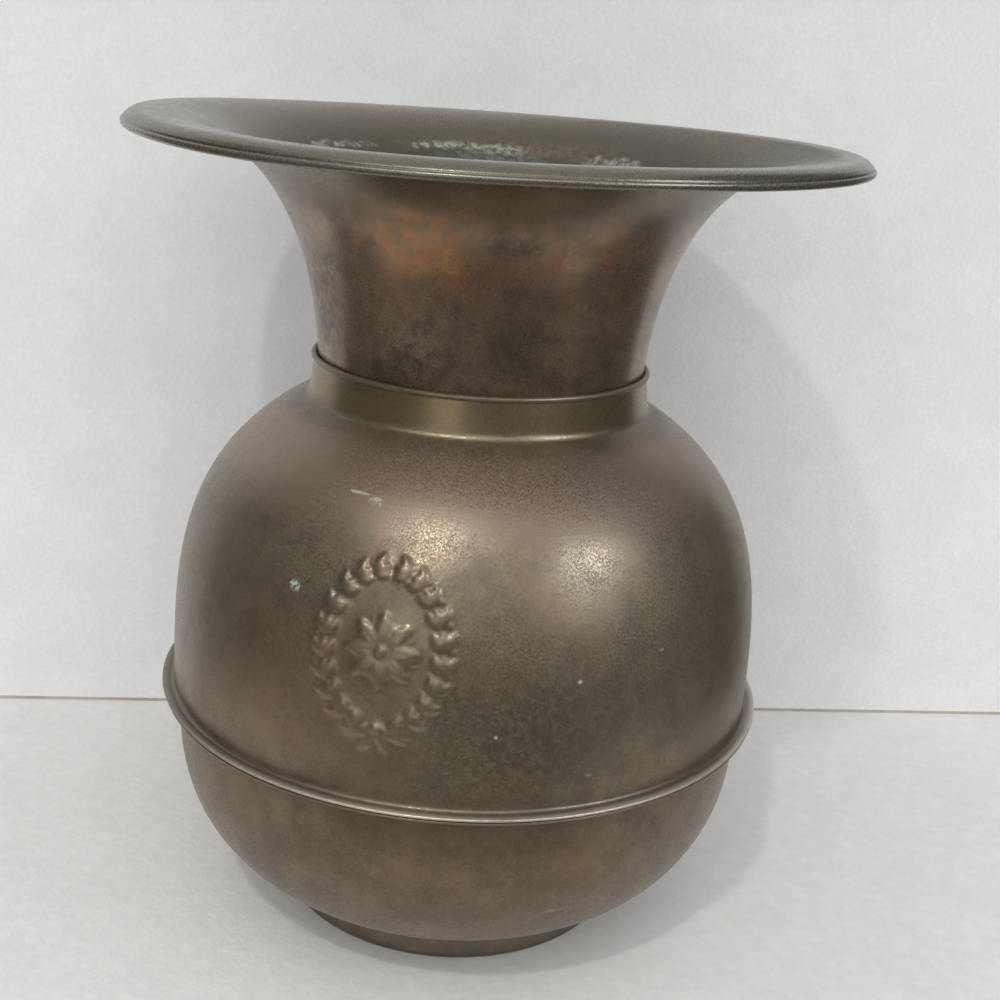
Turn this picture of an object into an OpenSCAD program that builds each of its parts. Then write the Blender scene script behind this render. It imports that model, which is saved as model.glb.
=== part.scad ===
// Two-piece brass spittoon: a lift-out mouth funnel, a two-shell body and a soldered foot.
// Every piece is spun sheet, drawn as the middle line of the sheet and given its thickness.
// The origin is at the middle of the foot, on the floor, and the ornament faces -Y.

/* [Overall] */
// Height from the floor to the crest of the mouth
total_h = 267; // [264:0.5:272]
// Thickness of the spun sheet
sheet_t = 0.9; // [0.7:0.05:1.0]

/* [Mouth funnel] */
// Radius of the highest line of the mouth
crest_r = 109.3; // [106:0.1:112]
// Radius at which the lip rolls down outside the crest
lip_roll_r = 8; // [7:0.5:10]
// How far the lip turns down before the bead starts, in degrees
lip_turn = 39; // [34:1:44]
// Radius of the curled bead, at the middle of the sheet
bead_r = 1.35; // [1.2:0.05:1.5]
// How far the bead curls round, in degrees
bead_wrap = 255; // [200:5:260]
// Length of the funnel below the collar lip
spigot_len = 21; // [14:1:26]
// How much the spigot narrows to its lower end, on the radius
spigot_taper = 0.4; // [0.2:0.1:0.8]

/* [Collar] */
// Bore radius of the collar at its lip
collar_bore_r = 54.15; // [53.5:0.05:55]
// Radial gap between the seated funnel and the collar lip
seat_gap = 0.1; // [0.1:0.05:0.3]
// Height of the top of the collar lip
collar_top_z = 193.1; // [191:0.1:195]
// Radius of the rolled lip, at the middle of the sheet
collar_roll_r = 0.55; // [0.5:0.05:0.7]
// How much the collar widens downward, in degrees
collar_flare = 7.5; // [5:0.5:9]
// Height at which the collar starts to turn into the shoulder
collar_foot_z = 181.8; // [180:0.2:184]
// Radius of that hollow turn
collar_fillet_r = 4; // [3:0.5:5]

/* [Body] */
// Widest radius of the upper shell, at the middle of the sheet
body_r = 99.6; // [97:0.1:102]
// Slope of the shoulder where it leaves the collar, in degrees
shoulder_fall = 29; // [25:1:33]
// Reach of the shoulder curve from the collar
shoulder_reach = 38; // [34:1:42]
// Reach of the shoulder curve up from the straight side
shoulder_rise = 43; // [38:1:48]
// Widest radius of the bowl, at the middle of the sheet
bowl_r = 97.6; // [95:0.1:99]
// Height of the widest line of the bowl
bowl_wide_z = 66; // [62:1:70]
// Height of the middle of the sheet at the flat bottom
bowl_floor_z = 8.8; // [7:0.1:11]
// Radius of the flat bottom
bowl_flat_r = 40; // [34:1:46]
// Reach of the bowl curve out from the flat bottom
bowl_reach = 33.5; // [30:0.5:37]
// Reach of the bowl curve down from the widest line
bowl_drop = 35.9; // [32:0.1:38]

/* [Belt seam] */
// Outside radius of the upper flange
flange_r = 104.1; // [103.5:0.1:105]
// How much further in the lower flange ends
flange_step = 0.5; // [0.2:0.1:0.8]
// Height of the joint face between the two flanges
seam_z = 78.7; // [77:0.1:80]
// Thickness of the solder between the flanges
solder_t = 0.5; // [0.3:0.1:0.6]
// Radius of the hollow turn above the belt
belt_fillet_r = 3; // [2.5:0.1:3.4]
// Radius of the turn under the belt
bowl_turn_r = 2; // [1.5:0.1:2.5]

/* [Foot] */
// Outside radius of the foot at the floor
foot_r = 60.5; // [58:0.5:62]
// How much the foot narrows upward, on the radius
foot_taper = 1.6; // [1:0.1:2]
// Radius of the turned-in lower edge
foot_turn_r = 2; // [1.5:0.1:2.5]
// Width of the hem that the foot stands on
foot_hem = 4; // [3:0.5:6]
// Width of the solder fillet under the bowl
foot_solder_w = 2.5; // [2:0.5:3]

/* [Hidden] */
$fn = 180;
half_t = sheet_t / 2;
// Segments along a long curve, a short turn and a rounded sheet edge
curve_n = 26;
turn_n = 8;
cap_n = 4;
yellow_brass = [0.62, 0.52, 0.34];
dull_brass = [0.48, 0.41, 0.30];
tin_solder = [0.60, 0.60, 0.58];

// Point on a cubic curve with the ends a, d and the handles b, c
function cubic(a, b, c, d, t) =
    pow(1 - t, 3) * a + 3 * t * pow(1 - t, 2) * b + 3 * t * t * (1 - t) * c + pow(t, 3) * d;
function curve(a, b, c, d) = [for (i = [0 : curve_n]) cubic(a, b, c, d, i / curve_n)];
// Points round a centre, from one angle to another
function arc(centre, r, from, to, n) =
    [for (i = [0 : n]) let (w = from + (to - from) * i / n) centre + r * [cos(w), sin(w)]];
// A list without its first point, so that joined stretches share no point
function tail(path) = [for (i = [1 : len(path) - 1]) path[i]];
function reversed(path) = [for (i = [len(path) - 1 : -1 : 0]) path[i]];

// Unit direction of a path at one of its points
function heading(path, i) =
    let (a = path[max(i - 1, 0)])
    let (b = path[min(i + 1, len(path) - 1)])
    (b - a) / norm(b - a);
// The path moved sideways to its left
function beside(path, d) =
    [for (i = [0 : len(path) - 1]) path[i] + d * [-heading(path, i)[1], heading(path, i)[0]]];
// A half-round sheet edge at the end of a path
function rounded_end(path) =
    let (i = len(path) - 1)
    let (dir = heading(path, i))
    let (w = atan2(dir[1], dir[0]))
    [for (k = [1 : cap_n - 1]) path[i] + half_t * [cos(w - 90 + 180 * k / cap_n), sin(w - 90 + 180 * k / cap_n)]];

// A sheet of one thickness along a path, with both edges rounded
module spun_sheet(path) {
    back = reversed(path);
    rotate_extrude() polygon(concat(
        beside(path, -half_t), rounded_end(path), beside(back, -half_t), rounded_end(back)));
}

// A sheet whose path starts on the axis, with its other edge rounded
module spun_dish(path) {
    rotate_extrude() polygon(concat(
        beside(path, -half_t), rounded_end(path), reversed(beside(path, half_t))));
}

// Middle line of the funnel, from the spigot end to the curled bead
seat_r = collar_bore_r - seat_gap - half_t;
flare_start = [seat_r, collar_top_z];
crest = [crest_r, total_h - half_t];
flare_rise = 0.65 * (total_h - collar_top_z);
flare_reach = 29;
flare_lean = 3.4;
lip_centre = crest - [0, lip_roll_r];
bead_start = 90 - lip_turn;
bead_centre = lip_centre + (lip_roll_r - bead_r) * [cos(bead_start), sin(bead_start)];
funnel_path = concat(
    [[seat_r - spigot_taper, collar_top_z - spigot_len]],
    [[seat_r - spigot_taper / 4, collar_top_z - spigot_len / 3]],
    curve(flare_start, flare_start + [flare_lean, flare_rise], crest - [flare_reach, 0], crest),
    tail(arc(lip_centre, lip_roll_r, 90, bead_start, turn_n)),
    tail(arc(bead_centre, bead_r, bead_start, bead_start - bead_wrap, 3 * turn_n)));

// Middle line of the upper shell, from the rolled lip down to the flange edge
collar_r = collar_bore_r + half_t;
roll_centre = [collar_r + collar_roll_r, collar_top_z - half_t - collar_roll_r];
collar_foot = [collar_r + (roll_centre[1] - collar_foot_z) * tan(collar_flare), collar_foot_z];
fillet_centre = collar_foot + collar_fillet_r * [cos(collar_flare), sin(collar_flare)];
shoulder_start = fillet_centre - collar_fillet_r * [sin(shoulder_fall), cos(shoulder_fall)];
shoulder_dir = [cos(shoulder_fall), -sin(shoulder_fall)];
side_z = 92;
upper_flange_z = seam_z + solder_t / 2 + half_t;
belt_centre = [body_r + belt_fillet_r, upper_flange_z + belt_fillet_r];
shell_path = concat(
    arc(roll_centre, collar_roll_r, -60, 180, 2 * turn_n),
    arc(fillet_centre, collar_fillet_r, 180 + collar_flare, 270 - shoulder_fall, turn_n),
    tail(curve(shoulder_start, shoulder_start + shoulder_reach * shoulder_dir,
        [body_r, side_z + shoulder_rise], [body_r, side_z])),
    arc(belt_centre, belt_fillet_r, 180, 270, turn_n),
    [[flange_r - half_t, upper_flange_z]]);

// Middle line of the bowl, from the axis out and up to the flange edge
lower_flange_z = seam_z - solder_t / 2 - half_t;
turn_centre = [bowl_r + bowl_turn_r, lower_flange_z - bowl_turn_r];
bowl_bottom = [bowl_flat_r, bowl_floor_z];
bowl_wide = [bowl_r, bowl_wide_z];
bowl_path = concat(
    [[0, bowl_floor_z]],
    curve(bowl_bottom, bowl_bottom + [bowl_reach, 0], bowl_wide - [0, bowl_drop], bowl_wide),
    arc(turn_centre, bowl_turn_r, 180, 90, turn_n),
    [[flange_r - flange_step - half_t, lower_flange_z]]);

// Height of the bowl's underside at a radius under its curved bottom
bowl_underside = beside(bowl_path, -half_t);
function under_z(r) = lookup(r, [for (i = [0 : curve_n]) bowl_underside[i]]);
// Points along that underside, from one radius to another
function under_edge(from, to) =
    [for (i = [0 : cap_n]) let (r = from + (to - from) * i / cap_n) [r, under_z(r)]];

// Middle line of the foot ring, from under the bowl down to the hem
foot_side_r = foot_r - half_t;
foot_top_r = foot_side_r - foot_taper;
hem_centre = [foot_side_r - foot_turn_r, half_t + foot_turn_r];
hem_r = hem_centre[0] - foot_hem;

// Lift-out funnel: curled mouth bead, flare and the tapered spigot that seats in the collar
module mouth_funnel() {
    color(yellow_brass) spun_sheet(funnel_path);
}

// Upper shell: collar with its rolled lip, shoulder, side and the upper belt flange
module upper_shell() {
    color(yellow_brass) spun_sheet(shell_path);
}

// Lower bowl with a flat bottom and the lower belt flange
module bowl_shell() {
    color(dull_brass) spun_dish(bowl_path);
}

// Soft solder between the flanges, with the fillet that runs up inside the shell
module seam_solder() {
    fill_r = belt_fillet_r + half_t;
    recess = 0.9;
    face_z = seam_z - solder_t / 2;
    color(tin_solder) rotate_extrude() polygon(concat(
        [[bowl_r + bowl_turn_r + 0.8, face_z], [flange_r - recess, face_z]],
        [[flange_r - recess, face_z + solder_t]],
        reversed(arc(belt_centre, fill_r, 228, 270, turn_n))));
}

// Foot: a tapered ring cut to the bowl's underside, turned in to a flat hem on the floor
module foot_ring() {
    color(dull_brass) rotate_extrude() polygon(concat(
        arc(hem_centre, foot_turn_r - half_t, 0, -90, turn_n),
        [[hem_r, sheet_t], [hem_r, 0]],
        arc(hem_centre, foot_turn_r + half_t, -90, 0, turn_n),
        under_edge(foot_top_r + half_t, foot_top_r - half_t)));
}

// Solder fillet in the corner between the bowl's underside and the inside of the foot
module foot_solder() {
    corner_r = foot_top_r - half_t;
    drop = 2;
    lean = foot_taper * drop / (under_z(corner_r) - hem_centre[1]);
    color(tin_solder) rotate_extrude() polygon(concat(
        under_edge(corner_r, corner_r - foot_solder_w),
        [[corner_r + lean, under_z(corner_r) - drop]]));
}

mouth_funnel();
upper_shell();
bowl_shell();
seam_solder();
foot_ring();
foot_solder();
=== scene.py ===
import functools
from math import atan2, ceil, cos, degrees, pi, radians, sin, tan

import bpy
import numpy as np
from mathutils import Matrix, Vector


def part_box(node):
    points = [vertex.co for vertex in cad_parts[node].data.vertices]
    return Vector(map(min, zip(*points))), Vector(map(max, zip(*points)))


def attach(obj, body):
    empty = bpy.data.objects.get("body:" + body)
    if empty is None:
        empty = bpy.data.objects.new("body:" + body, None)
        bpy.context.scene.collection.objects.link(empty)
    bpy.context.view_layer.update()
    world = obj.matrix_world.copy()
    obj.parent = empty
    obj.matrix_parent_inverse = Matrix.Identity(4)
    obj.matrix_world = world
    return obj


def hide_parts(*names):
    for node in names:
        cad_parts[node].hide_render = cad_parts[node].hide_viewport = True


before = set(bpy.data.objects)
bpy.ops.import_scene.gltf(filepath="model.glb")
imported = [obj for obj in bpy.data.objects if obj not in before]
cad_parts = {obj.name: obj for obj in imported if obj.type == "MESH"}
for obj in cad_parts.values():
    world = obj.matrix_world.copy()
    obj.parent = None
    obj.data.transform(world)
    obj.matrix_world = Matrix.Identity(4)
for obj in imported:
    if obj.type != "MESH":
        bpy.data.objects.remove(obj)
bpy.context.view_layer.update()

# Mouth funnel: brass sheet spun over a former, its lip turned down and its edge curled into a hollow
# bead. The straight lower end is the spigot that drops into the collar and lifts out again. Age has
# pulled the rim out of true: its front hangs a little and its right side stands out.
sheet = 0.0009
half_sheet = sheet / 2
funnel_low, funnel_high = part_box("mouth_funnel")
seat_radius = 0.0536
seat_height = 0.1931
spigot_taper = 0.0004
crest_radius = 0.1098
crest_height = funnel_high[2] - half_sheet
flare_lean = 0.0034
flare_rise = 0.65 * (funnel_high[2] - seat_height)
spigot_bend = 0.007
flare_reach = 0.0315
lip_roll = 0.005
lip_turn = 45
lip_slope = 0.0017
bead_radius = 0.0009
bead_wrap = 235
crease_depth = 0.0003
funnel_columns = 264
edge_points = 5
finest_gap = 0.00008


def curve(a, b, c, d, count=400):
    """Cubic curve from a to d with handles b and c: a(1-t)^3 + 3bt(1-t)^2 + 3ct^2(1-t) + dt^3."""
    t = np.linspace(0, 1, count)[:, None]
    a, b, c, d = (np.array(point, float) for point in (a, b, c, d))
    return (1 - t)**3 * a + 3 * t * (1 - t)**2 * b + 3 * t**2 * (1 - t) * c + t**3 * d


def turn(centre, radius, start, end, count=120):
    """Arc: the centre plus radius times (cos w, sin w), for angles w from start to end in degrees."""
    w = np.radians(np.linspace(start, end, count))
    return np.array(centre) + radius * np.stack([np.cos(w), np.sin(w)], 1)


def joined(*stretches):
    """One path from several stretches, without points that lie on the point before them."""
    path = np.vstack(stretches)
    step = np.linalg.norm(np.diff(path, axis=0), axis=1)
    return path[np.concatenate([[True], step > 1e-7])]


def rows_along(path, widest, zone=None):
    """Points along a path, at equal steps of the sum of its length over the wanted gap. The gap is widest,
    or less where the path bends, so that no row turns more than 8 degrees. A zone (low, high, gap) of
    heights has its own gap."""
    step = np.diff(path, axis=0)
    length = np.linalg.norm(step, axis=1)
    bend = np.abs(np.diff(np.unwrap(np.arctan2(step[:, 1], step[:, 0])), append=0))
    bend[-1] = 0
    bend = np.convolve(bend, np.ones(5) / 5, "same")
    gap = np.minimum(widest, radians(8) * length / np.maximum(bend, 1e-9))
    gap = np.maximum(gap, finest_gap)
    if zone is not None:
        middle = (path[1:, 1] + path[:-1, 1]) / 2
        gap = np.where((middle > zone[0]) & (middle < zone[1]), np.minimum(gap, zone[2]), gap)
    count = np.concatenate([[0], np.cumsum(length / gap)])
    where = np.linspace(0, count[-1], ceil(count[-1]) + 1)
    return np.stack([np.interp(where, count, path[:, k]) for k in (0, 1)], 1)


def right_of(path):
    """Unit vectors to the right of a path: its direction (dr, dz) turned to (dz, -dr)."""
    step = np.diff(path, axis=0)
    step /= np.linalg.norm(step, axis=1)[:, None]
    step = np.vstack([step[:1], (step[1:] + step[:-1]) / 2, step[-1:]])
    step /= np.linalg.norm(step, axis=1)[:, None]
    return np.stack([step[:, 1], -step[:, 0]], 1)


def round_edge(path):
    """Half circle of half the sheet's thickness round the end of a path, from its right to its left."""
    right = right_of(path)[-1]
    ahead = np.array([-right[1], right[0]])
    w = np.radians(np.linspace(0, 180, edge_points + 2)[1:-1])[:, None]
    return path[-1] + half_sheet * (np.cos(w) * right + np.sin(w) * ahead)


def sheet_outline(outer, inner):
    """Closed outline of a sheet: the outer path moved half a sheet to its right, a round edge, then the
    inner path back the other way on its other side, and a round edge."""
    back = inner[::-1]
    return np.vstack([outer + half_sheet * right_of(outer), round_edge(outer),
                      back + half_sheet * right_of(back), round_edge(back)])


def behind_edge(outline, outer):
    """True for the points of an outline that come after the middle of its first round edge."""
    return np.arange(len(outline)) > len(outer) + edge_points // 2


def new_object(name, data):
    """A new object that shows some data, put into the scene."""
    thing = bpy.data.objects.new(name, data)
    bpy.context.scene.collection.objects.link(thing)
    return thing


def spin(name, outline, angles, marks=None, lift=None, shape=None, poles=False):
    """Surface of revolution: point i of the outline (r, z) at angle a lies at (r cos a, r sin a, z), moved
    by lift away from the sheet and then by shape. With poles, the outline's ends lie on the axis. The
    marks are point attributes, each given for the rows or for the whole grid."""
    ends = outline[[0, -1]]
    if poles:
        outline = outline[1:-1]
    grid = np.repeat(outline[:, None, :], len(angles), 1)
    if lift is not None:
        grid = grid + lift[..., None] * right_of(outline)[:, None, :]
    grid = np.stack([grid[..., 0] * np.cos(angles), grid[..., 0] * np.sin(angles), grid[..., 1]], -1)
    if shape is not None:
        grid = shape(grid)
    rows, columns = grid.shape[:2]
    here = np.arange(rows * columns).reshape(rows, columns)
    beside = np.roll(here, -1, 1)
    above, above_beside = np.roll(here, -1, 0), np.roll(beside, -1, 0)
    last = rows - 1 if poles else rows
    faces = np.stack([here, beside, above_beside, above], -1)[:last].reshape(-1, 4).tolist()
    points = grid.reshape(-1, 3)
    if poles:
        first_pole, last_pole = len(points), len(points) + 1
        points = np.vstack([points, [[0, 0, ends[0][1]], [0, 0, ends[1][1]]]])
        faces += np.stack([np.full(columns, first_pole), beside[0], here[0]], 1).tolist()
        faces += np.stack([np.full(columns, last_pole), here[-1], beside[-1]], 1).tolist()
    mesh = bpy.data.meshes.new(name)
    mesh.from_pydata(points.tolist(), [], faces)
    mesh.polygons.foreach_set("use_smooth", np.ones(len(mesh.polygons), bool))
    for mark, values in (marks or {}).items():
        values = np.asarray(values, float)
        if poles:
            values = values[1:-1]
        values = np.broadcast_to(values[:, None] if values.ndim == 1 else values, (rows, columns)).reshape(-1)
        values = np.concatenate([values, values[[0, -1]]]) if poles else values
        mesh.attributes.new(mark, "FLOAT", "POINT").data.foreach_set("value", values.astype(np.float32))
    mesh.update()
    return new_object(name, mesh)


def ease(x, low, high):
    """0 below low, 1 above high, and 3t^2 - 2t^3 between them."""
    t = np.clip((x - low) / (high - low), 0, 1)
    return t * t * (3 - 2 * t)


shown_side = radians(13.5)
rim_waves = ((0, 0.66, 0), (1, -0.18, -0.1), (2, -0.64, 0.16), (3, 0.07, 0.25), (4, 0.07, 0.08))
rim_droop = 0.0022
rim_stretch = 0.0034
rim_worn_from = 0.07


def worn_rim(grid):
    """The rim out of true, more so from rim_worn_from outward: it rises by the sum of the rim waves, each
    b cos(ka) + c sin(ka) millimetres at the angle a from the side that shows, sinks there by rim_droop times
    (1 + cos a)/2, and the side to its right moves out by rim_stretch times sin^4."""
    radius = np.hypot(grid[..., 0], grid[..., 1])
    a = np.arctan2(grid[..., 1], grid[..., 0]) + pi / 2 - shown_side
    out = ease(radius, rim_worn_from, crest_radius)
    rise = sum(b * np.cos(k * a) + c * np.sin(k * a) for k, b, c in rim_waves) / 1000
    rise = out * (rise - rim_droop * (1 + np.cos(a)) / 2)
    grow = 1 + rim_stretch * out * np.clip(np.sin(a), 0, 1)**4 / radius
    return np.stack([grid[..., 0] * grow, grid[..., 1] * grow, grid[..., 2] + rise], -1)


lip_centre = np.array([crest_radius, crest_height - lip_roll])
bead_start = 90 - lip_turn
downhill = np.array([cos(radians(bead_start - 90)), sin(radians(bead_start - 90))])
outward = np.array([cos(radians(bead_start)), sin(radians(bead_start))])
lip_end = lip_centre + lip_roll * outward + lip_slope * downhill
bead_centre = lip_end - bead_radius * outward
flare_start = np.array([seat_radius, seat_height])
spigot_end = np.array([seat_radius - spigot_taper, funnel_low[2] + half_sheet])
funnel_line = joined(
    curve(spigot_end, spigot_end, flare_start - [0, spigot_bend], flare_start),
    curve(flare_start, flare_start + [flare_lean, flare_rise],
          (crest_radius - flare_reach, crest_height), (crest_radius, crest_height), 1200),
    turn(lip_centre, lip_roll, 90, bead_start),
    np.linspace(lip_end - lip_slope * downhill, lip_end, 60),
    turn(bead_centre, bead_radius, bead_start, bead_start - bead_wrap))
crease_height = lip_end[1] + 0.00045
crease_half_wide = 0.00028
lip_from = crest_radius + 0.002
outer_gap, inner_gap, crease_gap = 0.0011, 0.0014, 0.00018
crest_zone = (0.101, 0.108)
inner_zone = (0.064, 0.08)
inner_end = (0.101, 0.109)
deep_shade_zone = (0.254, 0.2665)
under_rim_zone = (0.064, 0.076)
under_rim_top = (0.264, 0.2655)
outer_rows = rows_along(funnel_line, outer_gap)
inner_rows = rows_along(funnel_line, inner_gap, (crease_height - 0.0008, crease_height + 0.001, crease_gap))
outline = sheet_outline(outer_rows, inner_rows)
on_inner = behind_edge(outline, outer_rows)
from_axis, tall = outline.T
over_crease = tall - crease_height
on_crest = ease(from_axis, *crest_zone)
crease = np.exp(-(over_crease / crease_half_wide)**2) * on_inner * (from_axis > lip_from)
dull_side = radians(38)
inner_flare = on_inner * ease(from_axis, *inner_zone) * (1 - ease(from_axis, *inner_end))
all_round = np.linspace(0, 2 * pi, funnel_columns, endpoint=False)
funnel = spin("funnel_spun", outline, all_round, lift=-crease_depth * crease[:, None], shape=worn_rim, marks={
    "inside": on_inner * (1 - on_crest),
    "lip_band": on_inner * on_crest * ease(over_crease, -0.0018, -0.0014),
    # Painted shade: the inside grows darker further down the mouth.
    "deep_painted_shade": on_inner * (1 - ease(tall, *deep_shade_zone)),
    # Painted shade: a darker line in the groove under the lip.
    "crease": on_inner * (from_axis > lip_from) * np.exp(-((over_crease - 0.0001) / 0.0003)**2),
    # Painted shade under the flare, laid over olive tarnish.
    "under_rim_shade_and_olive": (1 - on_inner) * ease(from_axis, *under_rim_zone) * (1 - ease(tall, *under_rim_top)),
    "bead_low": (from_axis > crest_radius) * (1 - ease(over_crease, -0.0017, -0.0009)),
    # Painted highlight: a light line along the bead's edge.
    "painted_edge_highlight": (from_axis > lip_end[0] - 0.0008)
                   * ease(over_crease, -0.0013, -0.0008) * (1 - ease(over_crease, -0.0006, -0.0002)),
    "rim_shade": inner_flare[:, None] * ease(np.cos(all_round - dull_side), 0.3, 0.95)})


def wire(tree, node, sockets):
    """Sets or links the input sockets of a node, by name or number."""
    for key, value in sockets.items():
        if isinstance(value, bpy.types.NodeSocket):
            tree.links.new(value, node.inputs[key])
        else:
            node.inputs[key].default_value = value


def place(tree, kind, sockets=None, **settings):
    """Adds a node of a kind, with its settings, and wires its input sockets."""
    node = tree.nodes.new(kind)
    for key, value in settings.items():
        setattr(node, key, value)
    wire(tree, node, sockets or {})
    return node


a_number, a_colour, a_vector = "NodeSocketFloat", "NodeSocketColor", "NodeSocketVector"


def effect(name, takes, gives):
    """An empty shader node group with named inputs and outputs: its tree, its inputs and its output node."""
    tree = bpy.data.node_groups.new(name, "ShaderNodeTree")
    for label, kind, value in takes:
        tree.interface.new_socket(label, in_out="INPUT", socket_type=kind).default_value = value
    for label, kind in gives:
        tree.interface.new_socket(label, in_out="OUTPUT", socket_type=kind)
    return tree, tree.nodes.new("NodeGroupInput").outputs, tree.nodes.new("NodeGroupOutput")


def grain(tree, spot, scale, detail=4, roughness=0.55, distortion=0):
    """Noise value at a place, with its scale per metre."""
    return place(tree, "ShaderNodeTexNoise", {
        "Vector": spot, "Scale": scale, "Detail": detail, "Roughness": roughness,
        "Distortion": distortion}).outputs["Fac"]


def spread(tree, value, low, high, to_low=0, to_high=1):
    """A value between low and high brought to a smooth share between to_low and to_high."""
    return place(tree, "ShaderNodeMapRange", {
        "Value": value, "From Min": low, "From Max": high, "To Min": to_low, "To Max": to_high},
        interpolation_type="SMOOTHSTEP").outputs["Result"]


def sums(tree, a, b, operation="ADD"):
    """Sum of two values, or another operation on them."""
    return place(tree, "ShaderNodeMath", {0: a, 1: b}, operation=operation).outputs[0]


def vectors(tree, a, b, operation="ADD"):
    """Sum of two vectors, or another operation on them."""
    return place(tree, "ShaderNodeVectorMath", {0: a, 1: b}, operation=operation).outputs[0]


def times(tree, a, b):
    """Product of two values."""
    return sums(tree, a, b, "MULTIPLY")


def highest(tree, values):
    """The highest of some values."""
    return functools.reduce(lambda a, b: sums(tree, a, b, "MAXIMUM"), values)


def laid_over(tree, share, below, above):
    """The colour above laid over the colour below by a share."""
    return place(tree, "ShaderNodeMix", {0: share, 6: below, 7: above}, data_type="RGBA").outputs[2]


def own_place(tree):
    """Place on the piece in metres, in its own coordinates."""
    return place(tree, "ShaderNodeTexCoord").outputs["Object"]


def tarnish_effect():
    """Cloudy tarnish: three sizes of cloud between the light and the dark tone, under a redder bloom."""
    tree, takes, gives = effect("tarnish", [
        ("Light", a_colour, (0.3, 0.24, 0.16, 1)), ("Dark", a_colour, (0.2, 0.16, 0.1, 1)),
        ("Bloom", a_colour, (0.3, 0.17, 0.1, 1)), ("Bloom Amount", a_number, 0.2),
        ("Offset", a_vector, (0, 0, 0))],
        [("Color", a_colour), ("Cloud", a_number)])
    spot = vectors(tree, own_place(tree), takes["Offset"])
    broad = times(tree, grain(tree, spot, 24, 6, 0.62, 0.15), 0.3)
    middle = times(tree, grain(tree, spot, 110, 4, 0.65), 0.33)
    fine = times(tree, grain(tree, spot, 1100, 4, 0.8), 0.37)
    cloud = spread(tree, sums(tree, sums(tree, broad, middle), fine), 0.42, 0.58)
    bloom = spread(tree, grain(tree, spot, 40, 6, 0.68, 0.2), 0.48, 0.72)
    bloom = times(tree, bloom, takes["Bloom Amount"])
    tone = laid_over(tree, cloud, takes["Dark"], takes["Light"])
    wire(tree, gives, {"Color": laid_over(tree, bloom, tone, takes["Bloom"]), "Cloud": cloud})
    return tree


def rings_effect():
    """Faint rings left by the spinning tool: noise read at (radius, height), so that it runs round the axis."""
    tree, takes, gives = effect("spinning_rings", [("Rings Per Metre", a_number, 900)], [("Height", a_number)])
    axes = place(tree, "ShaderNodeSeparateXYZ", {0: own_place(tree)}).outputs
    squares = sums(tree, times(tree, axes[0], axes[0]), times(tree, axes[1], axes[1]))
    radius = place(tree, "ShaderNodeMath", {0: squares}, operation="SQRT").outputs[0]
    ring_spot = place(tree, "ShaderNodeCombineXYZ", {0: radius, 1: axes[2]}).outputs[0]
    wire(tree, gives, {"Height": grain(tree, ring_spot, takes["Rings Per Metre"], 2)})
    return tree


def pits_effect():
    """Tiny corrosion pits: dots round scattered points, kept only where a broader noise is high."""
    tree, takes, gives = effect("pits", [
        ("Pits Per Metre", a_number, 640), ("Reach", a_number, 0.3),
        ("Crowding", a_number, 0.58)], [("Mask", a_number)])
    spot = own_place(tree)
    near = place(tree, "ShaderNodeTexVoronoi", {"Vector": spot, "Scale": takes["Pits Per Metre"]})
    dot = spread(tree, near.outputs["Distance"], takes["Reach"], 0)
    where = spread(tree, grain(tree, spot, 75, 4, 0.6), takes["Crowding"], 0.74)
    wire(tree, gives, {"Mask": times(tree, dot, where)})
    return tree


def hairlines_effect():
    """Fine scratches from wiping: three noises, each drawn out along its own slanting direction."""
    tree, takes, gives = effect("hairlines", [("Lines Per Metre", a_number, 3400)], [("Mask", a_number)])
    spot = own_place(tree)
    lines = []
    for slant, lean in ((0.5, 0.3), (-0.8, 1.1), (1.3, -0.6)):
        turned = place(tree, "ShaderNodeVectorRotate", {
            "Vector": spot, "Rotation": (slant, lean, slant * lean)}, rotation_type="EULER_XYZ").outputs[0]
        drawn = vectors(tree, turned, (1, 0.02, 0.02), "MULTIPLY")
        lines.append(spread(tree, grain(tree, drawn, takes["Lines Per Metre"], 1), 0.69, 0.76))
    wire(tree, gives, {"Mask": highest(tree, lines)})
    return tree


def blotch_effect():
    """A mark of ragged outline: the distance from its centre, each way measured by its own reach and stirred
    by noise, taken from 1 inside to 0 at the edge."""
    tree, takes, gives = effect("blotch", [
        ("Centre", a_vector, (0, 0, 0)), ("Reach", a_vector, (0.01, 0.01, 0.01)),
        ("Softness", a_number, 0.5), ("Ragged", a_number, 0.6),
        ("Stir Per Metre", a_number, 120)], [("Mask", a_number)])
    spot = own_place(tree)
    away = vectors(tree, spot, takes["Centre"], "SUBTRACT")
    away = vectors(tree, away, takes["Reach"], "DIVIDE")
    far = place(tree, "ShaderNodeVectorMath", {0: away}, operation="LENGTH").outputs["Value"]
    stir = sums(tree, grain(tree, spot, takes["Stir Per Metre"], 7, 0.7), 0.5, "SUBTRACT")
    stir = times(tree, stir, takes["Ragged"])
    core = sums(tree, 1, takes["Softness"], "SUBTRACT")
    mask = spread(tree, sums(tree, far, times(tree, stir, 2)), 1, core)
    speckle = spread(tree, grain(tree, spot, 430, 5, 0.72), 0.42, 0.55, 0.15, 1)
    wire(tree, gives, {"Mask": times(tree, mask, speckle)})
    return tree


effects = {"tarnish": tarnish_effect(), "rings": rings_effect(), "pits": pits_effect(),
           "hairlines": hairlines_effect(), "blotch": blotch_effect()}


def use(tree, name, sockets=None):
    """One of the effects, placed in a material with its own values."""
    return place(tree, "ShaderNodeGroup", sockets, node_tree=effects[name])


def new_material(name):
    """A new material, its node tree and its shader."""
    material = bpy.data.materials.new(name)
    material.use_nodes = True
    return material, material.node_tree, material.node_tree.nodes["Principled BSDF"]


def mark_of(tree, name):
    """Value of one of the piece's own point attributes."""
    return place(tree, "ShaderNodeAttribute", attribute_name=name).outputs["Fac"]


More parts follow.
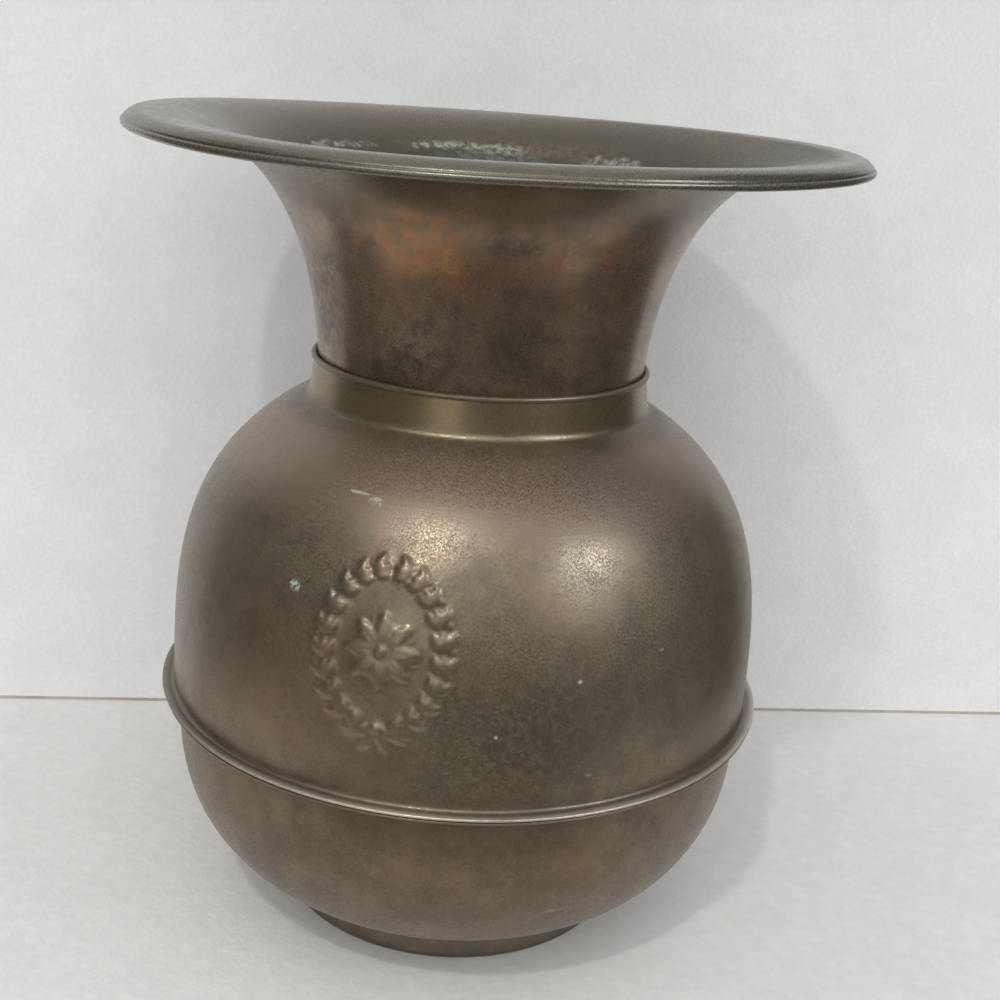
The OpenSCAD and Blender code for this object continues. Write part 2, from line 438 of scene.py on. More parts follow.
def on_side(turned, height, radius):
    """Place on a round wall: turned degrees from the front towards the right, at a height and a radius."""
    w = radians(turned)
    return (radius * sin(w), -radius * cos(w), height)


lacquer_share = 0.6
worn_lacquer_share = 0.2
lacquer_roughness = 0.42
crusted_metallic = 0.05
crusted_roughness = 0.45
smoother_by = 0.16
duller_by = 0.44
pit_dirt = (0.05, 0.04, 0.028, 1)
pit_share = 0.13
scratch_share = 0.03


def aged_brass(name, light, dark, bloom, bloom_amount, offset, washes=(), blots=(), blots_inside=(),
               roughness=0.44, metallic=0.76, smoother=None, duller=None):
    """Old brass under brown tarnish. A wash is (attribute, colour, strength), laid over the tarnish where the
    piece's attribute is high. A blot is (place, reach, colour, strength, softness, ragged, dulled), a ragged
    mark that takes away its dulled share of the metal's shine. With blots_inside, each kind keeps to its own
    side of the sheet. The metal is smoother where the attribute smoother is high, and duller, with its old
    lacquer worn, where the attribute duller is high."""
    material, tree, shader = new_material(name)
    tarnish = use(tree, "tarnish", {"Light": (*light, 1), "Dark": (*dark, 1), "Bloom": (*bloom, 1),
                                    "Bloom Amount": bloom_amount, "Offset": offset}).outputs
    colour = tarnish["Color"]
    for mark, tint, strength in washes:
        colour = laid_over(tree, times(tree, mark_of(tree, mark), strength), colour, (*tint, 1))
    dulls = []
    marks = [(*blot, 0) for blot in blots] + [(*blot, 1) for blot in blots_inside]
    for spot, reach, tint, strength, softness, ragged, dulled, inside in marks:
        mask = use(tree, "blotch", {"Centre": spot, "Reach": reach, "Softness": softness, "Ragged": ragged,
                                    "Stir Per Metre": 2.4 / max(reach)}).outputs["Mask"]
        mask = times(tree, mask, strength)
        if blots_inside:
            own_side = spread(tree, mark_of(tree, "inside"), 0, 1, 1 - inside, inside)
            mask = times(tree, mask, own_side)
        colour = laid_over(tree, mask, colour, (*tint, 1))
        if dulled:
            dulls.append(times(tree, mask, dulled))
    pits = use(tree, "pits").outputs["Mask"]
    hairs = use(tree, "hairlines").outputs["Mask"]
    colour = laid_over(tree, times(tree, pits, pit_share), colour, pit_dirt)
    colour = laid_over(tree, times(tree, hairs, scratch_share), colour, (*[1.6 * c for c in light], 1))
    haze = grain(tree, own_place(tree), 1900, 2)
    haze = spread(tree, haze, 0.36, 0.64, roughness - 0.12, roughness + 0.14)
    if smoother:
        calm = times(tree, mark_of(tree, smoother), 0.7)
        haze = sums(tree, haze, times(tree, calm, sums(tree, roughness, haze, "SUBTRACT")))
    clouded = spread(tree, tarnish["Cloud"], 0, 1, 0.03, -0.02)
    rough = sums(tree, sums(tree, haze, clouded), times(tree, pits, 0.1))
    if smoother:
        rough = sums(tree, rough, times(tree, mark_of(tree, smoother), -smoother_by))
    wire(tree, shader, {"Coat Weight": lacquer_share, "Coat Roughness": lacquer_roughness})
    if duller:
        dulls.append(times(tree, mark_of(tree, duller), duller_by))
        wire(tree, shader, {
            "Coat Weight": spread(tree, mark_of(tree, duller), 0, 1, lacquer_share, worn_lacquer_share)})
    if dulls:
        dull = highest(tree, dulls)
        rough = sums(tree, rough, times(tree, dull, crusted_roughness))
        metallic = spread(tree, dull, 0, 1, metallic, crusted_metallic)
    rings = times(tree, use(tree, "rings").outputs["Height"], 0.7)
    uneven = times(tree, grain(tree, own_place(tree), 900, 3), 0.5)
    height = sums(tree, sums(tree, rings, uneven), times(tree, pits, -0.2))
    bump = place(tree, "ShaderNodeBump", {"Strength": 0.3, "Distance": 0.00006, "Height": height})
    wire(tree, shader, {"Base Color": colour, "Roughness": rough, "Metallic": metallic,
                        "Normal": bump.outputs["Normal"]})
    return material


copper = (0.37, 0.165, 0.058)
bright_copper = (0.48, 0.265, 0.1)
red_copper = (0.26, 0.092, 0.054)
straw = (0.25, 0.165, 0.066)
soot = (0.085, 0.07, 0.052)
chalk = (0.44, 0.45, 0.38)
olive_dirt = (0.075, 0.06, 0.034)
deep_teal = (0.075, 0.11, 0.115)
funnel_blots = [
    (on_side(18, 0.2365, 0.066), (0.044, 0.03, 0.0105), straw, 0.58, 0.8, 1.5, 0),
    (on_side(-5, 0.2355, 0.067), (0.018, 0.03, 0.0115), copper, 0.9, 0.6, 2.2, 0),
    (on_side(-2, 0.232, 0.064), (0.012, 0.02, 0.007), copper, 0.9, 0.5, 2.2, 0),
    (on_side(2, 0.2325, 0.064), (0.007, 0.01, 0.0044), bright_copper, 0.9, 0.5, 2.2, 0),
    (on_side(-4, 0.23, 0.0625), (0.0045, 0.01, 0.0034), bright_copper, 0.85, 0.5, 2.2, 0),
    (on_side(51, 0.2365, 0.066), (0.013, 0.02, 0.007), copper, 0.55, 0.7, 2, 0),
    (on_side(15, 0.2285, 0.062), (0.013, 0.015, 0.005), red_copper, 0.65, 0.9, 0.9, 0),
    (on_side(31.5, 0.2345, 0.064), (0.0032, 0.01, 0.0065), red_copper, 0.85, 0.8, 0.9, 0),
    (on_side(46, 0.2335, 0.064), (0.006, 0.01, 0.004), red_copper, 0.45, 0.9, 1, 0),
    (on_side(-6, 0.23, 0.0625), (0.0012, 0.01, 0.0012), soot, 0.7, 0.6, 0.6, 0.2),
    (on_side(20.5, 0.2385, 0.066), (0.0118, 0.012, 0.0036), (0.075, 0.058, 0.038), 0.95, 0.35, 0.6, 0),
    (on_side(30, 0.247, 0.071), (0.034, 0.03, 0.0052), (0.095, 0.074, 0.042), 0.62, 0.9, 0.6, 0),
    (on_side(36, 0.2385, 0.066), (0.0105, 0.012, 0.0068), (0.092, 0.072, 0.044), 0.7, 0.9, 0.6, 0),
    (on_side(23, 0.212, 0.0555), (0.01, 0.02, 0.024), (0.082, 0.068, 0.046), 0.5, 0.9, 0.6, 0),
    (on_side(-36, 0.238, 0.066), (0.01, 0.02, 0.01), (0.36, 0.265, 0.175), 0.6, 0.9, 0.6, 0),
    (on_side(-47, 0.214, 0.057), (0.015, 0.022, 0.026), (0.085, 0.066, 0.044), 0.85, 0.9, 0.6, 0.6),
    (on_side(-10, 0.21, 0.056), (0.024, 0.02, 0.022), (0.34, 0.25, 0.155), 0.85, 0.9, 0.9, 0),
    (on_side(43, 0.212, 0.056), (0.012, 0.02, 0.014), (0.32, 0.245, 0.155), 0.7, 0.9, 0.9, 0)]
mouth_blots = [
    ((0.092, 0.015, 0.264), (0.04, 0.075, 0.017), (0.062, 0.053, 0.034), 0.72, 0.95, 0.4, 0),
    ((-0.005, 0.076, 0.256), (0.062, 0.02, 0.005), (0.22, 0.165, 0.11), 0.5, 0.9, 0.8, 0),
    ((-0.017, 0.0745, 0.2512), (0.028, 0.02, 0.0036), deep_teal, 0.85, 0.5, 1, 0.8),
    ((-0.033, 0.07, 0.2552), (0.047, 0.018, 0.0029), (0.25, 0.262, 0.213), 0.85, 0.95, 1.3, 0.8),
    ((-0.026, 0.074, 0.2556), (0.024, 0.018, 0.0016), (0.27, 0.315, 0.262), 0.85, 0.9, 1.5, 0.8),
    ((-0.04, 0.067, 0.255), (0.01, 0.018, 0.0009), (0.33, 0.34, 0.28), 0.7, 0.8, 2.2, 0.9),
    ((0.03, 0.071, 0.2542), (0.018, 0.018, 0.0021), (0.3, 0.28, 0.22), 0.85, 0.8, 1.8, 0.8),
    ((-0.066, 0.043, 0.2548), (0.014, 0.018, 0.0016), (0.34, 0.33, 0.29), 0.85, 0.8, 1.9, 0.8)]
# Among its washes are painted shade deep in the mouth, in the crease, under the rim and on the mouth's right,
# and a painted highlight along the bead's edge.
funnel.data.materials.append(aged_brass(
    "funnel_brown_copper", (0.258, 0.175, 0.1), (0.096, 0.07, 0.041), copper, 0.34, (0.31, 0.12, 0.05),
    [("inside", (0.122, 0.102, 0.063), 0.85), ("deep_painted_shade", (0.06, 0.05, 0.026), 0.84),
     ("lip_band", (0.132, 0.125, 0.092), 0.88), ("under_rim_shade_and_olive", (0.125, 0.096, 0.046), 0.75),
     ("crease", (0.11, 0.097, 0.068), 0.5), ("bead_low", (0.19, 0.172, 0.125), 0.85),
     ("rim_shade", (0.072, 0.067, 0.05), 0.6), ("painted_edge_highlight", (0.34, 0.33, 0.26), 0.36)],
    funnel_blots, mouth_blots, roughness=0.3, duller="rim_shade"))
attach(funnel, "funnel")
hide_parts("mouth_funnel")

# Upper shell: collar with a rolled lip, shoulder and side, spun from one brass sheet and turned out at the
# bottom into the upper flange of the belt. A laurel wreath round a rosette is raised from its front in
# low relief, and its high places are rubbed bright.
shell_low, shell_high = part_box("upper_shell")
collar_radius = 0.0546
roll_radius = 0.00055
collar_flare = 7.5
collar_foot_height = 0.1818
collar_turn = 0.004
side_radius = 0.0996
side_height = 0.092
shoulder_fall = 29
shoulder_reach = 0.038
shoulder_rise = 0.043
belt_turn = 0.0018
flange_edge = shell_high[0] - half_sheet
flange_height = shell_low[2] + half_sheet
relief_height = 0.127
relief_half_high = 0.032
relief_half_turn = 14.5
relief_fade_turn = 16
die_wear, hollow_spread, ground_spread = 4, 14, 40
ground_rise = 0.0004
relief_columns, plain_columns = 0.25, 2.3
outer_gap, inner_gap, relief_gap = 0.0019, 0.0034, 0.00041
relief_radius = 0.0985
relief_zone = (0.085, 0.172)
collar_zone = (0.178, 0.184)
roll_zone = (0.1915, 0.1927)
shoulder_from = (0.152, 0.166)
shoulder_to = (0.174, 0.178)
fillet_zone = (side_radius + 0.00046, side_radius + 0.0006)
belt_zone = (side_radius + 0.0014, side_radius + 0.0022)
shaded_belt_side = radians(197)

lean, fall = radians(collar_flare), radians(shoulder_fall)
roll_centre = np.array([collar_radius + roll_radius, shell_high[2] - half_sheet - roll_radius])
collar_foot = np.array([collar_radius + (roll_centre[1] - collar_foot_height) * tan(lean),
                        collar_foot_height])
turn_centre = collar_foot + collar_turn * np.array([cos(lean), sin(lean)])
shoulder_start = turn_centre - collar_turn * np.array([sin(fall), cos(fall)])
shoulder_handle = shoulder_start + shoulder_reach * np.array([cos(fall), -sin(fall)])
shell_line = joined(
    turn(roll_centre, roll_radius, -60, 180),
    turn(turn_centre, collar_turn, 180 + collar_flare, 270 - shoulder_fall),
    curve(shoulder_start, shoulder_handle, (side_radius, side_height + shoulder_rise),
          (side_radius, side_height), 1200),
    curve((side_radius, side_height), (side_radius, side_height - 0.003),
          (side_radius, flange_height + belt_turn + 0.003), (side_radius, flange_height + belt_turn)),
    turn((side_radius + belt_turn, flange_height + belt_turn), belt_turn, 180, 270),
    np.array([[flange_edge, flange_height]]))[::-1]


def packed_angles(middle, half_turn, fade_turn, fine, coarse):
    """Angles once round, closer together within half_turn of the middle: steps of equal weight, where the
    weight of a degree is one over the gap wanted there. The gap grows from fine to coarse over fade_turn."""
    w = np.linspace(-180, 180, 14401)
    gap = fine + (coarse - fine) * ease(np.abs(w), half_turn, half_turn + fade_turn)
    weight = np.concatenate([[0], np.cumsum(np.diff(w) / gap[1:])])
    even = np.linspace(0, weight[-1], int(weight[-1]) + 1)[:-1]
    return np.radians(middle + np.interp(even, weight, w))


def dome(x):
    """Half circle of radius 1: its height at x, and 0 outside it."""
    return np.sqrt(np.clip(1 - x**2, 0, 1))


def leaf(across, up, foot, turned, length, width, height):
    """Pointed dome on a line that starts at foot and points turned degrees from across: its half width is
    width/2 times sin(pi t^0.8), its height falls to the sides as a half circle, and a groove runs along it."""
    w = radians(turned)
    along = (across - foot[0]) * cos(w) + (up - foot[1]) * sin(w)
    aside = (up - foot[1]) * cos(w) - (across - foot[0]) * sin(w)
    t = np.clip(along / length, 0, 1)
    half = np.maximum(width / 2 * np.sin(pi * t**0.8), 1e-6)
    rise = dome(aside / half) * np.clip(4 * t * (1 - t), 0, 1)**0.35
    return height * rise * (1 - 0.4 * np.exp(-(aside / 0.00028)**2)) * (along > 0) * (along < length)


oval_wide, oval_high = 0.0178, 0.0232
laurel_leaves = ((-34, 0.0074, 0.0031, 0.00115), (30, 0.0066, 0.0031, 0.00115), (-2, 0.0062, 0.0031, 0.00135))
tail_leaves = ((-20, 0.0105, 0.003, 0.001), (-62, 0.0095, 0.003, 0.001))
rosette_leaves = ((0, 0.0104, 0.0056, 0.0014), (22.5, 0.009, 0.0026, 0.0009))
berry_radius, berry_rise = 0.0008, 0.0009
stem_half_wide, stem_rise = 0.0007, 0.0006
knot_half_wide, knot_half_high, knot_rise = 0.0021, 0.0017, 0.0014
boss_radius, boss_rise = 0.0028, 0.0017


def wreath_relief(across, up):
    """Height of the relief: two laurel branches on an oval, tied below, and a rosette of eight petals with
    eight sepals and a boss in the middle. Each is a leaf or a dome, and the highest one counts."""
    side = np.abs(across)
    height = np.zeros_like(across)
    for q in np.radians(np.linspace(-78, 70, 10)):
        foot = (oval_wide * cos(q), oval_high * sin(q))
        grows = degrees(atan2(oval_high * cos(q), -oval_wide * sin(q)))
        for swing, *sizes in laurel_leaves:
            height = np.maximum(height, leaf(side, up, foot, grows + swing, *sizes))
        berry = np.hypot(side - foot[0] * 1.16, up - foot[1] * 1.12) / berry_radius
        height = np.maximum(height, berry_rise * dome(berry))
    stem = np.abs(np.hypot(side / oval_wide, up / oval_high) - 1) * oval_wide / stem_half_wide
    on_stem = (up < oval_high * 0.9) & (side > 0.001)
    height = np.maximum(height, stem_rise * dome(stem) * on_stem)
    for turned, *sizes in tail_leaves:
        height = np.maximum(height, leaf(side, up, (0, -oval_high), turned, *sizes))
    knot = np.hypot(across / knot_half_wide, (up + oval_high) / knot_half_high)
    height = np.maximum(height, knot_rise * dome(knot))
    far, way = np.hypot(across, up), np.arctan2(up, across)
    eighth = pi / 4
    for turned, *sizes in rosette_leaves:
        fold = (way + radians(turned) + eighth / 2) % eighth - eighth / 2
        height = np.maximum(height, leaf(far * np.cos(fold), far * np.sin(fold), (0.0012, 0), 0, *sizes))
    ring = 0.0005 * np.exp(-((far - 0.0018) / 0.0003)**2)
    return np.maximum(height, boss_rise * dome(far / boss_radius) - ring)


def softened(height, rounds):
    """Relief as a worn die leaves it: each point averaged with its neighbours, in a number of rounds."""
    for _ in range(rounds):
        height = (np.roll(height, 1, 0) + 2 * height + np.roll(height, -1, 0)) / 4
        height = (np.roll(height, 1, 1) + 2 * height + np.roll(height, -1, 1)) / 4
    return height


body_waves = ((2, 0.31, 0.4, 0.5), (3, 0.17, 1.9, 0.4), (5, 0.11, 3.3, 0.25), (7, 0.083, 5.1, 0.15),
              (11, 0.061, 0.9, 0.1))
body_uneven = 0.00022
uneven_from, uneven_full = 0.062, 0.08


def uneven_wall(grid):
    """Hand-worn wall: the radius changes by body_uneven times the sum of the body waves, each the product of
    a cosine round the axis and a cosine along it, and is left alone closer to the axis than uneven_from."""
    radius = np.hypot(grid[..., 0], grid[..., 1])
    angle = np.arctan2(grid[..., 1], grid[..., 0])
    along = 2 * pi * grid[..., 2]
    change = sum(weight * np.cos(around * angle + start) * np.cos(along / length + start * 2)
                 for around, length, start, weight in body_waves)
    grow = 1 + body_uneven * change * ease(radius, uneven_from, uneven_full) / radius
    return np.stack([grid[..., 0] * grow, grid[..., 1] * grow, grid[..., 2]], -1)


shell_angles = packed_angles(-90, relief_half_turn, relief_fade_turn, relief_columns, plain_columns)
outer_rows = rows_along(
    shell_line, outer_gap, (relief_height - relief_half_high, relief_height + relief_half_high, relief_gap))
inner_rows = rows_along(shell_line, inner_gap)
outline = sheet_outline(outer_rows, inner_rows)
from_axis, tall = outline.T
on_outer = np.arange(len(outline)) < len(outer_rows)
carved = on_outer & (tall > relief_zone[0]) & (tall < relief_zone[1])
climbed = np.concatenate([[0], np.cumsum(np.linalg.norm(np.diff(outline, axis=0), axis=1))])
middle_row = np.argmin(np.abs(tall[:len(outer_rows)] - relief_height))
up = (climbed - climbed[middle_row])[:, None]
across = relief_radius * ((shell_angles + pi / 2 + pi) % (2 * pi) - pi)
relief = softened(wreath_relief(*np.broadcast_arrays(across, up)) * carved[:, None], die_wear)
ground = np.clip(softened(relief, ground_spread) * 1.6, 0, ground_rise)
hollow = np.clip((softened(relief, hollow_spread) - relief) / 0.0005, 0, 1)
on_belt = ease(from_axis, *belt_zone)
shell = spin("shell_spun", outline, shell_angles, lift=relief + 0.5 * ground, shape=uneven_wall, marks={
    "rubbed": np.clip(relief / 0.0013, 0, 1)**2,
    "hollow": hollow,
    "collar": on_outer * ease(tall, *collar_zone),
    # Painted shade: the concave fillet above the belt is made darker.
    "belt_fillet_painted_shade": ease(from_axis, *fillet_zone) * (1 - on_belt),
    # Painted sheen: the belt's flat upper face is made lighter and greyer.
    "belt_face_painted_sheen": on_belt,
    # Painted sheen: the upward-facing shoulder is made lighter.
    "shoulder": on_outer * ease(tall, *shoulder_from) * (1 - ease(tall, *shoulder_to)),
    # Painted highlight: a light line along the upper flange's edge.
    "painted_edge_highlight": ease(from_axis, flange_edge - 0.0007, flange_edge - 0.0001),
    # Painted shade: the belt face is darker on one side.
    "belt_end_painted_shade": on_belt[:, None] * ease(np.cos(shell_angles - shaded_belt_side), 0.62, 0.92),
    "roll_edge": ease(tall, *roll_zone)})
shell_blots = [
    # Of the first three broad patches, the second is painted shade, darker low on the right, and the third is
    # painted light, lighter on the left.
    (on_side(-18, 0.102, 0.0985), (0.054, 0.055, 0.036), (0.24, 0.154, 0.086), 0.8, 0.95, 0.5, 0),
    (on_side(25, 0.102, 0.0985), (0.05, 0.055, 0.036), (0.104, 0.084, 0.043), 0.78, 0.95, 0.4, 0),
    (on_side(-50, 0.122, 0.098), (0.046, 0.06, 0.046), (0.262, 0.208, 0.142), 0.5, 0.95, 0.4, 0),
    (on_side(-18.4, 0.139, 0.0935), (0.0024, 0.004, 0.0021), (0.33, 0.46, 0.39), 0.9, 0.5, 0.5, 0.8),
    (on_side(-7, 0.164, 0.0776), (0.0032, 0.003, 0.0014), chalk, 0.8, 0.5, 0.9, 0.7),
    (on_side(-11.5, 0.1655, 0.0765), (0.0062, 0.003, 0.0005), chalk, 0.7, 0.6, 0.5, 0.7),
    (on_side(20.7, 0.1725, 0.068), (0.002, 0.003, 0.001), (0.28, 0.24, 0.18), 0.5, 0.7, 0.8, 0.3),
    (on_side(34.2, 0.12, 0.0979), (0.001, 0.003, 0.0008), chalk, 0.7, 0.6, 0.8, 0.6),
    (on_side(20, 0.1042, 0.0993), (0.0009, 0.003, 0.0009), chalk, 0.7, 0.6, 0.8, 0.6),
    (on_side(36.9, 0.0901, 0.0996), (0.0012, 0.003, 0.0005), chalk, 0.7, 0.6, 0.8, 0.6),
    (on_side(50.7, 0.1253, 0.0971), (0.0008, 0.003, 0.0008), chalk, 0.6, 0.6, 0.8, 0.6)]
shell.data.materials.append(aged_brass(
    "shell_brown", (0.23, 0.184, 0.114), (0.144, 0.116, 0.074), (0.222, 0.146, 0.087), 0.65,
    (0.02, 0.41, 0.13),
    # The shoulder and belt face washes are painted sheen, the belt fillet and belt end washes are painted
    # shade, and the bright edge wash is a painted highlight.
    [("collar", (0.21, 0.154, 0.066), 0.85), ("roll_edge", (0.24, 0.2, 0.13), 0.5),
     ("shoulder", (0.3, 0.218, 0.158), 0.75), ("belt_fillet_painted_shade", (0.135, 0.114, 0.088), 0.6),
     ("belt_face_painted_sheen", (0.2, 0.175, 0.14), 0.7), ("hollow", (0.085, 0.064, 0.04), 0.6),
     ("rubbed", (0.28, 0.215, 0.145), 0.3), ("painted_edge_highlight", (0.62, 0.56, 0.46), 0.85),
     ("belt_end_painted_shade", (0.085, 0.075, 0.06), 0.65)],
    shell_blots, smoother="collar"))
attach(shell, "body")
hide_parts("upper_shell")

# Bowl: the lower half of the body, a brass sheet spun into a deep dish with a flat bottom and turned out
# at the top into the lower flange of the belt.
bowl_low, bowl_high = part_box("bowl_shell")
bowl_radius = 0.0976
bowl_wide_height = 0.066
bowl_flat_radius = 0.04
bowl_reach = 0.0335
bowl_drop = 0.0359
bowl_turn = 0.002
bowl_floor = bowl_low[2] + half_sheet
bowl_flange_edge = bowl_high[0] - half_sheet
bowl_flange_height = bowl_high[2] - half_sheet
bowl_columns = 264
outer_gap, inner_gap = 0.0016, 0.0024
bowl_line = joined(
    curve((0, bowl_floor), (0.01, bowl_floor), (0.03, bowl_floor), (bowl_flat_radius, bowl_floor)),
    curve((bowl_flat_radius, bowl_floor), (bowl_flat_radius + bowl_reach, bowl_floor),
          (bowl_radius, bowl_wide_height - bowl_drop), (bowl_radius, bowl_wide_height), 1200),
    turn((bowl_radius + bowl_turn, bowl_flange_height - bowl_turn), bowl_turn, 180, 90),
    np.array([[bowl_flange_edge, bowl_flange_height]]))
outer_rows = rows_along(bowl_line, outer_gap)
inner_rows = rows_along(bowl_line, inner_gap)
back = inner_rows[::-1]
outline = np.vstack([outer_rows + half_sheet * right_of(outer_rows), round_edge(outer_rows),
                     back + half_sheet * right_of(back)])
outline[[0, -1], 0] = 0
on_inner = behind_edge(outline, outer_rows)
all_round = np.linspace(0, 2 * pi, bowl_columns, endpoint=False)
from_axis, tall = outline.T
bowl = spin("bowl_spun", outline, all_round, poles=True, shape=uneven_wall, marks={
    "inside": on_inner,
    "low": (1 - on_inner) * (1 - ease(tall, 0.012, 0.034)),
    # Painted highlight: a light line along the lower flange's edge.
    "painted_edge_highlight": ease(from_axis, 0.102, 0.1034)})
bowl.data.materials.append(aged_brass(
    "bowl_olive", (0.186, 0.129, 0.068), (0.11, 0.078, 0.043), (0.18, 0.114, 0.048), 0.7, (0.53, 0.07, 0.21),
    [("inside", olive_dirt, 0.7), ("low", (0.13, 0.1, 0.065), 0.3), ("painted_edge_highlight", (0.28, 0.22, 0.15), 0.3)],
    [(on_side(34.8, 0.0397, 0.0928), (0.0055, 0.006, 0.0012), (0.34, 0.27, 0.17), 0.5, 0.7, 0.9, 0)]))
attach(bowl, "body")
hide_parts("bowl_shell")

# Seam solder: soft solder run into the belt between the two flanges, and up behind the bend of the upper
# one. It stops short of the edges, so the belt shows a dark line between two bright ones.
solder_low, solder_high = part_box("seam_solder")
solder_edge = solder_high[0] - 0.0002
solder_start = bowl_radius + bowl_turn + 0.0008
solder_top = flange_height - half_sheet
solder_climb = 42
fillet_centre = np.array([side_radius + belt_turn, flange_height + belt_turn])
outline = joined(
    np.array([[solder_start, solder_low[2]], [solder_edge, solder_low[2]]]),
    turn((solder_edge, (solder_low[2] + solder_top) / 2), (solder_top - solder_low[2]) / 2, -80, 80, 7),
    turn(fillet_centre, belt_turn + half_sheet, 270, 270 - solder_climb, 12))
seam = spin("seam_solder_run", outline, all_round)


def soft_solder(name, light, dark):
    """Dull grey solder: cloudy grey with darker dirt in its pits, part metal."""
    material, tree, shader = new_material(name)
    cloud = spread(tree, grain(tree, own_place(tree), 350, 4, 0.6), 0.4, 0.62)
    pits = use(tree, "pits").outputs["Mask"]
    colour = laid_over(tree, cloud, (*dark, 1), (*light, 1))
    colour = laid_over(tree, times(tree, pits, 0.6), colour, (0.03, 0.027, 0.022, 1))
    bump = place(tree, "ShaderNodeBump", {"Strength": 0.4, "Distance": 0.0001, "Height": cloud})
    wire(tree, shader, {"Base Color": colour, "Roughness": spread(tree, cloud, 0, 1, 0.75, 0.55),
                        "Metallic": 0.3, "Normal": bump.outputs["Normal"]})
    return material


seam.data.materials.append(soft_solder("seam_solder_dark", (0.045, 0.038, 0.027), (0.025, 0.021, 0.015)))
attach(seam, "body")
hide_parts("seam_solder")

# Foot: a low brass ring, tapered upward, cut to the bowl's underside and turned in at the bottom to the
# flat hem that the spittoon stands on.
foot_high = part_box("foot_ring")[1]
foot_side = foot_high[0] - half_sheet
foot_taper = 0.0016
foot_turn = 0.002
foot_hem = 0.004
hem_centre = np.array([foot_side - foot_turn, half_sheet + foot_turn])
foot_line = joined(
    curve((hem_centre[0] - foot_hem, half_sheet), (hem_centre[0] - 0.002, half_sheet),
          (hem_centre[0] - 0.001, half_sheet), (hem_centre[0], half_sheet), 20),
    turn(hem_centre, foot_turn, -90, 0),
    curve((foot_side, hem_centre[1]), (foot_side - foot_taper / 3, 0.005),
          (foot_side - foot_taper * 2 / 3, 0.0075), (foot_side - foot_taper, foot_high[2] - half_sheet), 60))
foot_rows = rows_along(foot_line, 0.0006)
outline = sheet_outline(foot_rows, foot_rows)
low_down = 1 - ease(outline[:, 1], 0.001, 0.006)
foot = spin("foot_spun", outline, all_round, marks={"low": low_down})
foot.data.materials.append(aged_brass(
    "foot_dark", (0.195, 0.155, 0.105), (0.125, 0.1, 0.068), (0.22, 0.15, 0.09), 0.2, (0.11, 0.27, 0.61),
    [("low", olive_dirt, 0.4)]))
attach(foot, "body")
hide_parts("foot_ring")

# Foot solder: a fillet of soft solder in the corner between the bowl's underside and the inside of the
# foot. It is seen only from below, so the solid itself stays and gets the finish.
foot_solder = bpy.data.objects["foot_solder"]
foot_solder.data.materials.clear()
foot_solder.data.materials.append(soft_solder("foot_solder_grey", (0.3, 0.29, 0.27), (0.16, 0.155, 0.14)))

# Table and wall: a pale painted table top, a pale rough wall behind it, and a thin dark strip of painted
# shadow at the joint between the two. The wall is seen only from its own front, so that the spittoon can be
# looked at from behind.
wall_turn = radians(19.3)
wall_away = 0.1284
wall_half_wide = 1.6
wall_high = 1.6
wall_gap = 0.0012
joint_high = 0.0014
joint_ahead = 0.0004
table_reach = 2.2


def flat_panel(name, corner, along, upward):
    """Flat panel from a corner, with edges along and upward, that faces the way of along cross upward."""
    corner, along, upward = (np.array(v, float) for v in (corner, along, upward))
    mesh = bpy.data.meshes.new(name)
    mesh.from_pydata([tuple(corner), tuple(corner + along), tuple(corner + along + upward),
                      tuple(corner + upward)], [], [(0, 1, 2, 3)])
    return new_object(name, mesh)


def pale_paint(name, light, dark, bump_scale, one_sided=False, painted_shade_high_up=0):
    """Pale matt paint, faintly uneven in tone, with a fine rough surface. One-sided paint is see-through
    from behind. Some paint has painted shade high up, darker by a share, as in a corner that the lamps miss."""
    material, tree, shader = new_material(name)
    spot = own_place(tree)
    tone = spread(tree, grain(tree, spot, 28, 6, 0.7), 0.35, 0.65)
    speck = spread(tree, grain(tree, spot, bump_scale, 4, 0.7), 0.35, 0.68)
    colour = laid_over(tree, tone, (*dark, 1), (*light, 1))
    colour = laid_over(tree, times(tree, sums(tree, 1, speck, "SUBTRACT"), 0.22), colour,
                       (*[0.75 * c for c in dark], 1))
    if painted_shade_high_up:
        up = place(tree, "ShaderNodeSeparateXYZ", {0: spot}).outputs[2]
        colour = laid_over(tree, spread(tree, up, 0.06, 0.36, 0, painted_shade_high_up), colour, (0, 0, 0, 1))
    bump = place(tree, "ShaderNodeBump", {"Strength": 0.3, "Distance": 0.0003, "Height": speck})
    wire(tree, shader, {"Base Color": colour, "Roughness": 0.75, "Normal": bump.outputs["Normal"]})
    if one_sided:
        clear = place(tree, "ShaderNodeBsdfTransparent")
        behind = place(tree, "ShaderNodeNewGeometry").outputs["Backfacing"]
        mixed = place(tree, "ShaderNodeMixShader", {0: behind, 1: shader.outputs[0], 2: clear.outputs[0]})
        wire(tree, tree.nodes["Material Output"], {"Surface": mixed.outputs[0]})
    return material


table = flat_panel("table_top", (-table_reach, -table_reach, 0),
                   (2 * table_reach, 0, 0), (0, 2 * table_reach, 0))
table.data.materials.append(pale_paint("table_paint", (0.81, 0.8, 0.785), (0.785, 0.775, 0.76), 160))
wall_half = wall_half_wide * np.array([cos(wall_turn), sin(wall_turn), 0])
wall_foot = np.array([-wall_away * sin(wall_turn), wall_away * cos(wall_turn), wall_gap])
wall = flat_panel("wall", wall_foot - wall_half, 2 * wall_half, (0, 0, wall_high))
# The wall paint carries painted shade high up.
wall.data.materials.append(pale_paint(
    "wall_paint", (0.8, 0.8, 0.795), (0.76, 0.76, 0.755), 600, one_sided=True, painted_shade_high_up=0.18))
